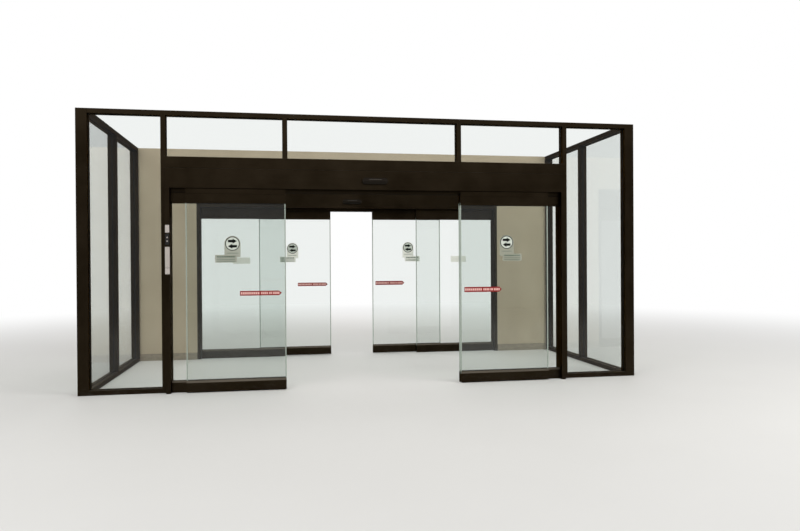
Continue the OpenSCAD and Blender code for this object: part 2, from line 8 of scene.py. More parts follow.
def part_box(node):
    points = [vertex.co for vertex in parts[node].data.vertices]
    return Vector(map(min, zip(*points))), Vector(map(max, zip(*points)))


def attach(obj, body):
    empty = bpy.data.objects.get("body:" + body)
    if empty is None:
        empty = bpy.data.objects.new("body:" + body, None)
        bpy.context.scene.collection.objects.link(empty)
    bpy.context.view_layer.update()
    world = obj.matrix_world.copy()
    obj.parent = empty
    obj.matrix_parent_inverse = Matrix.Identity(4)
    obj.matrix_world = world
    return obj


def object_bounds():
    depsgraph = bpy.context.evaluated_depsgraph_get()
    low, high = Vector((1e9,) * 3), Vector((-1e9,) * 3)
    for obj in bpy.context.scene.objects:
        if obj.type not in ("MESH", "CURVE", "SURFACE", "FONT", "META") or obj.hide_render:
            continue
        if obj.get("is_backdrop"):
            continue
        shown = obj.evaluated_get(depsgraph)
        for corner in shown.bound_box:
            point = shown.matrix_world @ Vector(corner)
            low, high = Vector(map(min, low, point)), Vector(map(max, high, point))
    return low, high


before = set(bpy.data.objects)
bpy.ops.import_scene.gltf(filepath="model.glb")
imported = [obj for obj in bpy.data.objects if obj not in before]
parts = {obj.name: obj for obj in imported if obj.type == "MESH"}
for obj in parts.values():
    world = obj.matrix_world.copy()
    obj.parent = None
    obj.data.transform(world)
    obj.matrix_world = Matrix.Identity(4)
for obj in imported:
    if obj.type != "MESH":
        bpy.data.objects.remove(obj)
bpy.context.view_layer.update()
scene = bpy.context.scene
units = ("front", "rear")
sides = ("left", "right")
doors = [(unit, side) for unit in units for side in sides]
print("frame loaded with", len(parts), "parts")

camera = {
    "place": (-0.9953, -8.8883, 1.4039),
    "yaw": 9.6685,  # degrees, towards the right
    "pitch": -0.3403,
    "roll": -0.3592,
    "focalPixels": 671.15,  # focal length in pixels of the picture
    "pictureWidth": 800,
    "sensor": 36.0,
    "reach": 200,
}


def placeCamera(plan):
    yaw, pitch, roll = (math.radians(plan[key]) for key in ("yaw", "pitch", "roll"))
    ahead = Vector((math.sin(yaw) * math.cos(pitch), math.cos(yaw) * math.cos(pitch), math.sin(pitch)))
    level = Vector((math.cos(yaw), -math.sin(yaw), 0))
    rise = level.cross(ahead)
    right = level * math.cos(roll) + rise * math.sin(roll)
    upward = rise * math.cos(roll) - level * math.sin(roll)
    data = bpy.data.cameras.new("lobbyCamera")
    data.sensor_width = plan["sensor"]
    data.lens = plan["focalPixels"] * plan["sensor"] / plan["pictureWidth"]
    data.clip_end = plan["reach"]
    holder = bpy.data.objects.new("lobbyCamera", data)
    scene.collection.objects.link(holder)
    turn = Matrix((right, upward, -ahead)).transposed()
    holder.matrix_world = Matrix.Translation(plan["place"]) @ turn.to_4x4()
    scene.camera = holder


placeCamera(camera)
print("camera placed")


# Node helpers for the shaders and the geometry trees. A node given as an input stands for its first output
def put(tree, kind, inputs=None, **settings):
    node = tree.nodes.new(kind)
    for key, value in settings.items():
        setattr(node, key, value)
    for key, value in (inputs or {}).items():
        if isinstance(value, bpy.types.Node):
            value = value.outputs[0]
        if isinstance(value, bpy.types.NodeSocket):
            tree.links.new(value, node.inputs[key])
        else:
            node.inputs[key].default_value = value
    return node


def objectPoint(tree, scale=(1, 1, 1)):
    coords = put(tree, "ShaderNodeTexCoord")
    return put(tree, "ShaderNodeMapping", {"Vector": coords.outputs["Object"], "Scale": scale})


def axisOf(point, axis):
    return put(point.id_data, "ShaderNodeSeparateXYZ", {0: point}).outputs["XYZ".index(axis)]


def placeOn(tree, axis):
    return axisOf(put(tree, "ShaderNodeTexCoord").outputs["Object"], axis)


def facingOn(tree, axis):
    return axisOf(put(tree, "ShaderNodeNewGeometry").outputs["True Normal"], axis)


def noise(tree, scale, detail, rough=0.5, stretch=(1, 1, 1)):
    inputs = {"Vector": objectPoint(tree, stretch), "Scale": scale, "Detail": detail, "Roughness": rough}
    return put(tree, "ShaderNodeTexNoise", inputs)


def remap(value, low, high, toLow=0.0, toHigh=1.0):
    return put(value.id_data, "ShaderNodeMapRange", {0: value, 1: low, 2: high, 3: toLow, 4: toHigh})


def maths(operation, first, second=0.5):
    return put(first.id_data, "ShaderNodeMath", {0: first, 1: second}, operation=operation)


def plus(first, second):
    return maths("ADD", first, second)


def times(first, second):
    return maths("MULTIPLY", first, second)


def within(value, low, high):
    return times(maths("GREATER_THAN", value, low), maths("LESS_THAN", value, high))


def vector(tree, x=0.0, y=0.0, z=0.0):
    return put(tree, "ShaderNodeCombineXYZ", {0: x, 1: y, 2: z})


def mixColor(factor, first, second):
    inputs = {0: factor, 6: first, 7: second}
    return put(factor.id_data, "ShaderNodeMix", inputs, data_type="RGBA").outputs[2]


def bump(height, distance, strength, under=None):
    inputs = {"Height": height, "Distance": distance, "Strength": strength}
    if under:
        inputs["Normal"] = under
    return put(height.id_data, "ShaderNodeBump", inputs)


def shaded(color, factor):
    return tuple(channel * factor for channel in color[:3]) + (1,)


def newMaterial(name):
    material = bpy.data.materials.new(name)
    material.use_nodes = True
    material.node_tree.nodes.clear()
    return material, material.node_tree


def surface(tree, color, rough, normal, more=None):
    inputs = {"Base Color": color, "Roughness": rough, "Normal": normal, **(more or {})}
    shader = put(tree, "ShaderNodeBsdfPrincipled", inputs)
    put(tree, "ShaderNodeOutputMaterial", {"Surface": shader})


# Dark bronze anodised extrusions: fine die lines along the member, hand smudges, scuffs near the floor and
# settled dust with a painted sheen on what looks up
bronze = {
    "color": (0.0400, 0.0275, 0.0148, 1),
    "pale": (0.0560, 0.0405, 0.0240, 1),
    "rim": (0.45, 0.40, 0.34, 1),  # keeps glancing reflections dark
    # pale colour of scuffs and dust, also the painted sheen on faces that look up
    "dustAndSheen": (0.100, 0.089, 0.072, 1),
    "roughLow": 0.30,
    "roughHigh": 0.44,
    "lineDensity": 240,
    "lineStretch": 1.5,  # density along the member
    "lineShare": 0.35,
    "lineDepth": 0.00002,
    "lineRough": 0.03,
    "smudgeScale": 2.6,
    "speckScale": 900.0,
    "speckDepth": 0.00001,
    "scuffScale": 14.0,
    "scuffTop": 0.14,
    "scuffShare": 0.5,
    "dustAndSheenTilt": (0.15, 0.5),  # dust and painted sheen start at the first tilt and are full at the second
    "dustAndSheenCover": 0.75,  # share of the bronze that dust and painted sheen hide on a ledge
    "dustRough": 0.2,
}


def bronzeMaterial(name, alongAxis):
    material, tree = newMaterial(name)
    stretch = [bronze["lineDensity"]] * 3
    stretch["XYZ".index(alongAxis)] = bronze["lineStretch"]
    lines = noise(tree, 1.0, 2.0, stretch=stretch)
    smudge = noise(tree, bronze["smudgeScale"], 5.0, 0.6)
    speck = noise(tree, bronze["speckScale"], 1.0)
    color = mixColor(remap(smudge, 0.35, 0.7), bronze["color"], bronze["pale"])
    color = mixColor(remap(lines, 0.3, 0.8, 0.0, bronze["lineShare"]), color, bronze["pale"])
    low = remap(placeOn(tree, "Z"), 0.0, bronze["scuffTop"], 1.0, 0.0)
    wiped = remap(noise(tree, bronze["scuffScale"], 6.0, 0.65, (1, 1, 3)), 0.5, 0.72)
    scuff = times(times(low, wiped), bronze["scuffShare"])
    color = mixColor(scuff, color, bronze["dustAndSheen"])
    # faces that look up are lightened: settled dust with a painted sheen
    ledgeDustAndSheen = remap(facingOn(tree, "Z"), *bronze["dustAndSheenTilt"], 0.0, bronze["dustAndSheenCover"])
    settledDustAndSheen = times(ledgeDustAndSheen, remap(speck, 0.2, 0.6, 0.6, 1.0))
    color = mixColor(settledDustAndSheen, color, bronze["dustAndSheen"])
    rough = remap(smudge, 0.3, 0.72, bronze["roughLow"], bronze["roughHigh"])
    rough = plus(rough, remap(lines, 0.2, 0.8, -bronze["lineRough"], bronze["lineRough"]))
    rough = plus(rough, times(plus(scuff, settledDustAndSheen), bronze["dustRough"]))
    normal = bump(lines, bronze["lineDepth"], 0.6)
    normal = bump(speck, bronze["speckDepth"], 0.4, normal)
    surface(tree, color, rough, normal, {"Metallic": 1.0, "Specular Tint": bronze["rim"]})
    return material


# Clear glass: a closed slab with a slight green tint. Door glass also has paler ground edges, whose pale tone
# is partly a painted highlight
glass = {
    "ior": 1.5,
    "rippleScale": 3.0,
    "rippleDepth": 0.0002,
    "wipeScale": 7.0,
    "wiped": (0.55, 0.8),  # where the noise leaves a faint wiping mark
    "wipeRough": 0.02,
    # pale tone of the ground edges: partly their frosted colour, partly a painted highlight
    "edgePaleHighlight": (0.80, 0.93, 0.88, 1),
    "edgeSlope": 0.4,  # faces turned more towards X than this are upright edges
    "edgeClear": 0.35,  # share of the light that enters a ground edge
    "edgeRough": (0.10, 0.24),
    "grindScale": 500.0,
    "grindDepth": 0.00003,
}


# A ground edge, frosted and pale; the pale tone is partly a painted highlight
def groundEdge(tree, edgeTint):
    grind = noise(tree, glass["grindScale"], 2.0, stretch=(1, 1, 0.05))
    return put(tree, "ShaderNodeBsdfPrincipled", {
        "Base Color": mixColor(remap(grind, 0.3, 0.7), edgeTint, glass["edgePaleHighlight"]),
        "Roughness": remap(grind, 0.3, 0.7, *glass["edgeRough"]), "IOR": glass["ior"],
        "Transmission Weight": glass["edgeClear"], "Normal": bump(grind, glass["grindDepth"], 0.5),
    })


def glassMaterial(name, tint, edgeTint=None):
    material, tree = newMaterial(name)
    ripple = noise(tree, glass["rippleScale"], 1.0, stretch=(1, 1, 0.4))
    wipe = noise(tree, glass["wipeScale"], 4.0, 0.6, (1, 1, 0.35))
    solid = put(tree, "ShaderNodeBsdfPrincipled", {
        "Base Color": tint, "Roughness": remap(wipe, *glass["wiped"], 0.0, glass["wipeRough"]),
        "IOR": glass["ior"], "Transmission Weight": 1.0, "Normal": bump(ripple, glass["rippleDepth"], 0.3),
    })
    if edgeTint:
        bare = maths("GREATER_THAN", maths("ABSOLUTE", facingOn(tree, "X")), glass["edgeSlope"])
        solid = put(tree, "ShaderNodeMixShader", {0: bare, 1: solid, 2: groundEdge(tree, edgeTint)})
    path = put(tree, "ShaderNodeLightPath")
    through = maths("MAXIMUM", path.outputs["Is Shadow Ray"], path.outputs["Is Diffuse Ray"])
    clear = put(tree, "ShaderNodeBsdfTransparent", {"Color": tint})
    out = put(tree, "ShaderNodeMixShader", {0: through, 1: solid, 2: clear})
    put(tree, "ShaderNodeOutputMaterial", {"Surface": out})
    return material


# Rubber with a fine grain and a paler bloom
rubber = {
    "grainScale": 700.0,
    "grainDepth": 0.00005,
    "bloomScale": 9.0,
    "bloomShade": 2.2,
    "bloomShare": 0.6,
    "roughSpread": 0.08,
    "shine": 0.2,
}


def gasketMaterial(name, color, rough):
    material, tree = newMaterial(name)
    grain = noise(tree, rubber["grainScale"], 2.0)
    bloom = noise(tree, rubber["bloomScale"], 4.0, 0.6)
    pale = shaded(color, rubber["bloomShade"])
    tone = mixColor(remap(bloom, 0.45, 0.75, 0.0, rubber["bloomShare"]), color, pale)
    rough = remap(bloom, 0.3, 0.7, rough - rubber["roughSpread"], rough + rubber["roughSpread"])
    normal = bump(grain, rubber["grainDepth"], 0.5)
    surface(tree, tone, rough, normal, {"Specular IOR Level": rubber["shine"]})
    return material


# Painted plaster: a rolled stipple, slow waves from the trowel and faint marks near the floor
plaster = {
    "color": (0.425, 0.352, 0.250, 1),
    "light": (0.468, 0.392, 0.284, 1),
    "mark": (0.335, 0.275, 0.193, 1),
    "markFade": (0.1, 0.55),  # heights between which the marks fade out
    "markShare": 0.45,
    "stippleScale": 260.0,
    "stippleDepth": 0.0006,
    "stippleShade": 0.10,
    "waveScale": 2.2,
    "waveDepth": 0.006,
    "cloudScale": 5.0,
    "rough": (0.72, 0.86),
}


def plasterMaterial(name):
    material, tree = newMaterial(name)
    stipple = noise(tree, plaster["stippleScale"], 3.0, 0.55)
    wave = noise(tree, plaster["waveScale"], 3.0)
    cloud = noise(tree, plaster["cloudScale"], 5.0, 0.6, (1, 1, 0.5))
    color = mixColor(remap(wave, 0.3, 0.7), plaster["color"], plaster["light"])
    low = remap(placeOn(tree, "Z"), *plaster["markFade"], 1.0, 0.0)
    marks = times(low, remap(cloud, 0.5, 0.75, 0.0, plaster["markShare"]))
    color = mixColor(marks, color, plaster["mark"])
    color = mixColor(remap(stipple, 0.3, 0.7, 0.0, plaster["stippleShade"]), color, plaster["mark"])
    normal = bump(wave, plaster["waveDepth"], 0.25)
    normal = bump(stipple, plaster["stippleDepth"], 0.35, normal)
    surface(tree, color, remap(cloud, 0.3, 0.7, *plaster["rough"]), normal)
    return material


# Skirting tiles: grey-beige stoneware with narrow grouted joints
skirting = {
    "color": (0.290, 0.246, 0.184, 1),
    "vein": (0.220, 0.184, 0.135, 1),
    "grout": (0.140, 0.122, 0.096, 1),
    "tileLength": 0.398,
    "firstJoint": 2.265,
    "jointWidth": 0.003,
    "veinScale": 11.0,
    "pitScale": 320.0,
    "pitShare": 0.1,  # of the depth of a joint
    "relief": 0.0012,
    "rough": (0.42, 0.55),
    "groutRough": 0.35,
}


def skirtingMaterial(name):
    material, tree = newMaterial(name)
    vein = noise(tree, skirting["veinScale"], 6.0, 0.62, (1, 1, 3))
    pit = noise(tree, skirting["pitScale"], 3.0)
    color = mixColor(remap(vein, 0.38, 0.66), skirting["color"], skirting["vein"])
    outward = maths("SUBTRACT", maths("ABSOLUTE", placeOn(tree, "X")), skirting["firstJoint"])
    onTile = maths("MODULO", outward, skirting["tileLength"])
    joint = maths("LESS_THAN", onTile, skirting["jointWidth"])
    color = mixColor(joint, color, skirting["grout"])
    rough = remap(vein, 0.3, 0.7, *skirting["rough"])
    rough = plus(rough, times(joint, skirting["groutRough"]))
    height = maths("SUBTRACT", times(pit, skirting["pitShare"]), joint)
    surface(tree, color, rough, bump(height, skirting["relief"], 0.7))
    return material


# Metal: the track, the screws and the running gear, which is painted dark where it shows below the header
metal = {
    "paint": (0.022, 0.016, 0.010, 1),
    "paintTop": 2.212,
    "grime": (0.06, 0.055, 0.05, 1),
    "grimeScale": 6.0,
    "grimeRough": 0.25,
    "cloudScale": 18.0,
    "lineDepth": 0.00003,
    "roughSpread": 0.06,
}


def brightMaterial(name, color, dull, rough, stretch, grime, painted=False):
    material, tree = newMaterial(name)
    lines = noise(tree, 1.0, 3.0, stretch=stretch)
    cloud = noise(tree, metal["cloudScale"], 5.0, 0.6)
    tone = mixColor(remap(cloud, 0.35, 0.7), color, dull)
    dirt = remap(noise(tree, metal["grimeScale"], 6.0, 0.7), 0.5, 0.75, 0.0, grime)
    tone = mixColor(dirt, tone, metal["grime"])
    gloss = remap(lines, 0.25, 0.75, rough - metal["roughSpread"], rough + metal["roughSpread"])
    gloss = plus(gloss, times(dirt, metal["grimeRough"]))
    if painted:
        below = maths("LESS_THAN", placeOn(tree, "Z"), metal["paintTop"])
        tone = mixColor(below, tone, metal["paint"])
    surface(tree, tone, gloss, bump(lines, metal["lineDepth"], 0.4), {"Metallic": 1.0})
    return material


# Moulded plastic, films and inks: a fine grain and fingerprints
plastic = {
    "grainScale": 1400.0,
    "touchScale": 25.0,
    "touchShade": 0.82,
    "touchShare": 0.5,
    "roughSpread": 0.05,
}


def plasticMaterial(name, color, rough, grainDepth=0.00003, alpha=1.0, shine=0.5):
    material, tree = newMaterial(name)
    grain = noise(tree, plastic["grainScale"], 2.0)
    touch = noise(tree, plastic["touchScale"], 4.0, 0.6)
    worn = shaded(color, plastic["touchShade"])
    tone = mixColor(remap(touch, 0.45, 0.75, 0.0, plastic["touchShare"]), color, worn)
    rough = remap(touch, 0.3, 0.7, rough - plastic["roughSpread"], rough + plastic["roughSpread"])
    normal = bump(grain, grainDepth, 0.4)
    surface(tree, tone, rough, normal, {"Alpha": alpha, "Specular IOR Level": shine})
    return material


# Switch plates: satin white, a greyer long plate, and a dark plate under the two round keys
plates = {
    "white": (0.480, 0.432, 0.395, 1),
    "grey": (0.455, 0.410, 0.368, 1),
    "dark": (0.010, 0.009, 0.008, 1),
    "darkWorn": (0.022, 0.020, 0.018, 1),
    "touched": (0.30, 0.29, 0.26, 1),
    "touchScale": 40.0,
    "touchShare": 0.25,
    "rough": (0.34, 0.5),
    "grainScale": 1200.0,
    "grainDepth": 0.00003,
    "longPlate": (1.352, 1.577),  # its foot and its top
    "keyPlate": (1.597, 1.717),
    "keyDepth": 0.004,
    "skin": 0.0002,  # taken in before the plate's face
}


def switchMaterial(name):
    material, tree = newMaterial(name)
    height = placeOn(tree, "Z")
    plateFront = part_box("switch_plates")[0].y + plates["keyDepth"]
    behind = maths("GREATER_THAN", placeOn(tree, "Y"), plateFront - plates["skin"])
    dark = times(within(height, *plates["keyPlate"]), behind)
    tone = mixColor(within(height, *plates["longPlate"]), plates["white"], plates["grey"])
    touch = noise(tree, plates["touchScale"], 4.0, 0.6)
    tone = mixColor(remap(touch, 0.5, 0.75, 0.0, plates["touchShare"]), tone, plates["touched"])
    worn = mixColor(remap(touch, 0.4, 0.8), plates["dark"], plates["darkWorn"])
    tone = mixColor(dark, tone, worn)
    grain = noise(tree, plates["grainScale"], 2.0)
    rough = remap(touch, 0.3, 0.7, *plates["rough"])
    surface(tree, tone, rough, bump(grain, plates["grainDepth"], 0.4))
    return material


finishes = {
    "bronzeUp": bronzeMaterial("bronzeUpright", "Z"),
    "bronzeAcross": bronzeMaterial("bronzeAcross", "X"),
    "bronzeDeep": bronzeMaterial("bronzeLengthways", "Y"),
    "doorGlass": glassMaterial("clearDoorGlass", (0.918, 0.946, 0.930, 1), (0.46, 0.76, 0.64, 1)),
    "fixedGlass": glassMaterial("clearFixedGlass", (0.928, 0.952, 0.938, 1)),
    "gasket": gasketMaterial("blackGasket", (0.010, 0.0095, 0.009, 1), 0.66),
    "belt": gasketMaterial("ribbedBelt", (0.020, 0.020, 0.021, 1), 0.74),
    "plaster": plasterMaterial("paintedPlaster"),
    "skirting": skirtingMaterial("stonewareSkirting"),
    "track": brightMaterial(
        "millAluminium", (0.58, 0.58, 0.56, 1), (0.44, 0.44, 0.43, 1), rough=0.34, stretch=(2, 300, 300),
        grime=0.25),
    "gear": brightMaterial(
        "zincPlate", (0.50, 0.50, 0.47, 1), (0.40, 0.41, 0.36, 1), rough=0.30, stretch=(90, 90, 90),
        grime=0.35, painted=True),
    "screw": brightMaterial(
        "darkScrewSteel", (0.090, 0.080, 0.065, 1), (0.05, 0.045, 0.038, 1), rough=0.33,
        stretch=(200, 200, 200), grime=0.2),
    "sensor": plasticMaterial("sensorPlastic", (0.013, 0.0100, 0.0068, 1), 0.48, shine=0.12),
    "lens": plasticMaterial("smokedLens", (0.012, 0.008, 0.006, 1), 0.14, grainDepth=0.0, shine=0.25),
    "spot": plasticMaterial("sensorSpot", (0.085, 0.078, 0.067, 1), 0.30, grainDepth=0.0, shine=0.3),
    "switches": switchMaterial("switchPlastic"),
    "film": plasticMaterial("whiteFilm", (0.60, 0.64, 0.57, 1), 0.46),
    "blankFilm": plasticMaterial("blankFilm", (0.82, 0.82, 0.75, 1), 0.44),
    "clearFilm": plasticMaterial("frostedFilm", (0.40, 0.41, 0.33, 1), 0.46, alpha=0.60),
    "seal": plasticMaterial("clearSeal", (0.44, 0.49, 0.43, 1), 0.34, grainDepth=0.00002, alpha=0.62),
    "blackInk": plasticMaterial("blackInk", (0.004, 0.005, 0.004, 1), 0.48, shine=0.15),
    "greenInk": plasticMaterial("greenInk", (0.060, 0.100, 0.066, 1), 0.48),
    "redFilm": plasticMaterial("redFilm", (0.250, 0.011, 0.011, 1), 0.40),
    "paleInk": plasticMaterial("paleInk", (0.84, 0.49, 0.44, 1), 0.45),
    "bristle": plasticMaterial("blackBristle", (0.009, 0.008, 0.007, 1), 0.65, shine=0.1),
}


def perUnit(*words):
    return [f"{unit}_{word}" for word in words for unit in units]


def perDoor(word):
    return [f"{unit}_{side}_{word}" for unit, side in doors]


finishOf = {
    "bronzeUp": ["corner_posts", "jamb_mullions", "transom_mullions", "side_mullions"] + perUnit("jambs"),
    "bronzeAcross": ["head_rail", "sill_rails"] + perUnit("header", "header_cover", "sidelite_rails")
    + perDoor("rails"),
    "bronzeDeep": ["side_rails"],
    "doorGlass": perUnit("sidelite_glass") + perDoor("glass"),
    "fixedGlass": ["corner_glass", "transom_glass", "side_glass"],
    "gasket": ["glazing_gaskets"],
    "belt": perUnit("belt"),
    "plaster": ["rear_wall_piers", "rear_wall_over_door"],
    "skirting": ["rear_skirting"],
    "track": perUnit("track"),
    "gear": ["floor_guides"] + perDoor("carriages"),
    "sensor": ["motion_sensors"],
    "switches": ["switch_plates"],
}

for finish, names in finishOf.items():
    for name in names:
        for materialSlot in parts[name].material_slots:
            materialSlot.material = finishes[finish]
print("finishes set on", sum(len(names) for names in finishOf.values()), "parts")


# Extrusions get softened arrises that catch the light
softened = {"radius": 0.0008, "sharperThan": 50, "weld": 0.00001}  # the angle is in degrees

for name in finishOf["bronzeUp"] + finishOf["bronzeAcross"] + finishOf["bronzeDeep"]:
    weld = parts[name].modifiers.new("joinCorners", "WELD")
    weld.merge_threshold = softened["weld"]
    bevel = parts[name].modifiers.new("softenArrises", "BEVEL")
    bevel.width = softened["radius"]
    bevel.segments = 1
    bevel.limit_method = "ANGLE"
    bevel.angle_limit = math.radians(softened["sharperThan"])
print("arrises softened")


def keep(name, mesh, materials, body):
    for material in materials:
        mesh.materials.append(material)
    piece = bpy.data.objects.new(name, mesh)
    scene.collection.objects.link(piece)
    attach(piece, body)


# Faces from one row of corners to the next, all the way round
def addBand(shape, first, second, materialIndex=0):
    for here in range(len(first)):
        there = (here + 1) % len(first)
        polygon = shape.faces.new((first[here], second[here], second[there], first[there]))
        polygon.material_index = materialIndex


# A solid between two outlines with as many corners
def addSolid(shape, first, second, materialIndex=0):
    for corners in (first, second[::-1]):
        shape.faces.new(corners).material_index = materialIndex
    addBand(shape, first, second, materialIndex)


def meshOf(shape, name):
    bmesh.ops.recalc_face_normals(shape, faces=shape.faces)
    mesh = bpy.data.meshes.new(name)
    shape.to_mesh(mesh)
    shape.free()
    return mesh


def keepShape(name, shape, finishKeys, body):
    keep(name, meshOf(shape, name), [finishes[key] for key in finishKeys], body)


# Flat shapes for labels, drawn in X and Z and given a thickness along Y
def slab(shape, outline, back, front, materialIndex=0):
    rear = [shape.verts.new((x, back, z)) for x, z in outline]
    face = [shape.verts.new((x, front, z)) for x, z in outline]
    addSolid(shape, face, rear, materialIndex)


def ring(shape, centre, outer, inner, back, front, materialIndex, steps=40):
    rows = []
    for step in range(steps):
        angle = 2 * math.pi * step / steps
        x, z = math.cos(angle), math.sin(angle)
        rows.append([
            shape.verts.new((centre[0] + radius * x, depth, centre[1] + radius * z))
            for radius, depth in ((outer, front), (inner, front), (inner, back), (outer, back))
        ])
    for step in range(steps):
        addBand(shape, rows[(step + 1) % steps], rows[step], materialIndex)


def barOutline(x, z, width, height):
    return [
        (x - width / 2, z - height / 2), (x + width / 2, z - height / 2),
        (x + width / 2, z + height / 2), (x - width / 2, z + height / 2),
    ]


def roundedOutline(x, z, width, height, radius, steps=5):
    outline = []
    for quarter, (sideX, sideZ) in enumerate(((1, 1), (-1, 1), (-1, -1), (1, -1))):
        for step in range(steps + 1):
            angle = math.pi / 2 * (quarter + step / steps)
            outline.append((
                x + sideX * (width / 2 - radius) + radius * math.cos(angle),
                z + sideZ * (height / 2 - radius) + radius * math.sin(angle),
            ))
    return outline


def discOutline(x, z, radius, steps=40):
    turns = [2 * math.pi * step / steps for step in range(steps)]
    return [(x + radius * math.cos(turn), z + radius * math.sin(turn)) for turn in turns]


def archOutline(x, discZ, radius, footZ, corner, steps=24, cornerSteps=4):
    turns = [math.pi * step / steps for step in range(steps + 1)]
    outline = [(x + radius * math.cos(turn), discZ + radius * math.sin(turn)) for turn in turns]
    for quarter, side in ((2, -1), (3, 1)):
        for step in range(cornerSteps + 1):
            angle = math.pi / 2 * (quarter + step / cornerSteps)
            outline.append((
                x + side * (radius - corner) + corner * math.cos(angle),
                footZ + corner + corner * math.sin(angle),
            ))
    return outline


# Labels on each sliding door, measured from its leading edge, on the lobby side of the glass
label = {
    "archCentre": {"left": 0.572, "right": 0.557},
    "discHeight": {"left": 1.610, "right": 1.621},
    "archRadius": 0.086,
    "archFoot": 1.462,
    "archCorner": 0.012,
    "ringOuter": 0.0770,
    "ringInner": 0.0685,
    "arrowLength": 0.096,
    "arrowHead": 0.046,
    "arrowWidth": 0.054,
    "arrowShaft": 0.028,
    "arrowLift": 0.0280,
    "barDrop": 0.104,  # below the middle of the disc
    "barLength": 0.120,
    "barHeight": 0.005,
    "wideCentre": {"left": 0.642, "right": 0.623},
    "wideLength": 0.232,
    "wideLow": 1.404,
    "wideHigh": 1.489,
    "wideCorner": 0.006,
    "wideLift": 0.0001,  # the wide film stands this much prouder than the arch
    "dashes": 8,
    "dashShare": 0.72,  # of their pitch
    "dashHeight": 0.016,
    "dashDrop": 0.26,  # share of the film's height, from its top
    "lineShare": 0.84,  # of the wide film
    "lineHeight": 0.006,
    "lineDrops": (0.59, 0.83),
    "filmDepth": 0.00025,
    "inkDepth": 0.00012,
}

strip = {
    "from": 0.046,
    "length": 0.450,
    "low": {"left": 1.041, "right": 1.045},
    "height": {"left": 0.052, "right": 0.060},
    "pointLength": 0.030,
    "barHeight": 0.026,
    "barShare": 0.74,  # of the pitch
    "barGroups": ((0.009, 0.207, 9), (0.226, 0.299, 4), (0.312, 0.342, 2), (0.355, 0.423, 4)),
}

# Order of the materials on a door's labels
coat = {"white": 0, "ground": 1, "green": 2, "red": 3, "pale": 4, "black": 5}


def arrowOutline(x, z, way):
    reach, neck = way * label["arrowLength"] / 2, x + way * (label["arrowLength"] / 2 - label["arrowHead"])
    head, shaft = label["arrowWidth"] / 2, label["arrowShaft"] / 2
    return [
        (x - reach, z - shaft), (neck, z - shaft), (neck, z - head), (x + reach, z),
        (neck, z + head), (neck, z + shaft), (x - reach, z + shaft),
    ]


def addDoorLabel(shape, toX, side, back):
    film = back - label["filmDepth"]
    ink = film - label["inkDepth"]
    centre, disc = toX(label["archCentre"][side]), label["discHeight"][side]
    arch = archOutline(centre, disc, label["archRadius"], label["archFoot"], label["archCorner"])
    slab(shape, arch, back, film, coat["ground"])
    slab(shape, discOutline(centre, disc, label["ringInner"]), film, ink, coat["white"])
    ring(shape, (centre, disc), label["ringOuter"], label["ringInner"], film, ink, coat["black"])
    for way in (-1, 1):
        arrow = arrowOutline(centre, disc + way * label["arrowLift"], way)
        slab(shape, arrow, ink, ink - label["inkDepth"], coat["black"])
    bar = barOutline(centre, disc - label["barDrop"], label["barLength"], label["barHeight"])
    slab(shape, bar, film, ink, coat["green"])
    addWideLabel(shape, toX(label["wideCentre"][side]), back, film - label["wideLift"])


# A wide film with a row of dashes over two thin lines
def addWideLabel(shape, middle, back, raised):
    low, high, width = label["wideLow"], label["wideHigh"], label["wideLength"]
    height, ink = high - low, raised - label["inkDepth"]
    film = roundedOutline(middle, (low + high) / 2, width, height, label["wideCorner"])
    slab(shape, film, back, raised, coat["ground"])
    pitch = width * label["lineShare"] / label["dashes"]
    dashHeight = high - height * label["dashDrop"]
    for index in range(label["dashes"]):
        place = middle + (index - (label["dashes"] - 1) / 2) * pitch
        dash = barOutline(place, dashHeight, pitch * label["dashShare"], label["dashHeight"])
        slab(shape, dash, raised, ink, coat["green"])
    for drop in label["lineDrops"]:
        line = barOutline(middle, high - height * drop, width * label["lineShare"], label["lineHeight"])
        slab(shape, line, raised, ink, coat["green"])


# The strip points to the right on both doors, and its bars run from its blunt end
def addStrip(shape, toX, side, back):
    film = back - label["filmDepth"]
    low, height, point = strip["low"][side], strip["height"][side], strip["pointLength"]
    left, right = sorted((toX(strip["from"]), toX(strip["from"] + strip["length"])))
    middle, top, neck = low + height / 2, low + height, right - point
    outline = [(left, low), (neck, low), (right, middle), (neck, top), (left, top)]
    slab(shape, outline, back, film, coat["red"])
    for start, end, count in strip["barGroups"]:
        width = (end - start) / (count + (count - 1) * (1 / strip["barShare"] - 1))
        for index in range(count):
            place = left + start + width / 2 + index * width / strip["barShare"]
            bar = barOutline(place, middle, width, strip["barHeight"])
            slab(shape, bar, film, film - label["inkDepth"], coat["pale"])


def labelDoor(unit, side):
    low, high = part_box(f"{unit}_{side}_glass")
    lead, outward = (high.x, -1) if side == "left" else (low.x, 1)

    def toX(far):
        return lead + outward * far

    shape = bmesh.new()
    addDoorLabel(shape, toX, side, low.y)
    addStrip(shape, toX, side, low.y)
    ground = "clearFilm" if unit == "front" else "blankFilm"
    films = ("film", ground, "greenInk", "redFilm", "paleInk", "blackInk")
    keepShape(f"{unit}_{side}_labels", shape, films, f"{unit}_leaf_{side}")


for unit, side in doors:
    labelDoor(unit, side)


# Blank labels on the rear sidelites: middle, length, foot and height of each
blankLabels = ((-1.638, 0.252, 1.385, 0.093), (1.6645, 0.241, 1.392, 0.093))


def labelSidelites():
    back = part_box("rear_sidelite_glass")[0].y
    shape = bmesh.new()
    for middle, length, foot, height in blankLabels:
        outline = roundedOutline(middle, foot + height / 2, length, height, label["wideCorner"])
        slab(shape, outline, back, back - label["filmDepth"])
    keepShape("rear_sidelite_labels", shape, ["blankFilm"], "root")


labelSidelites()
print("labels laid")


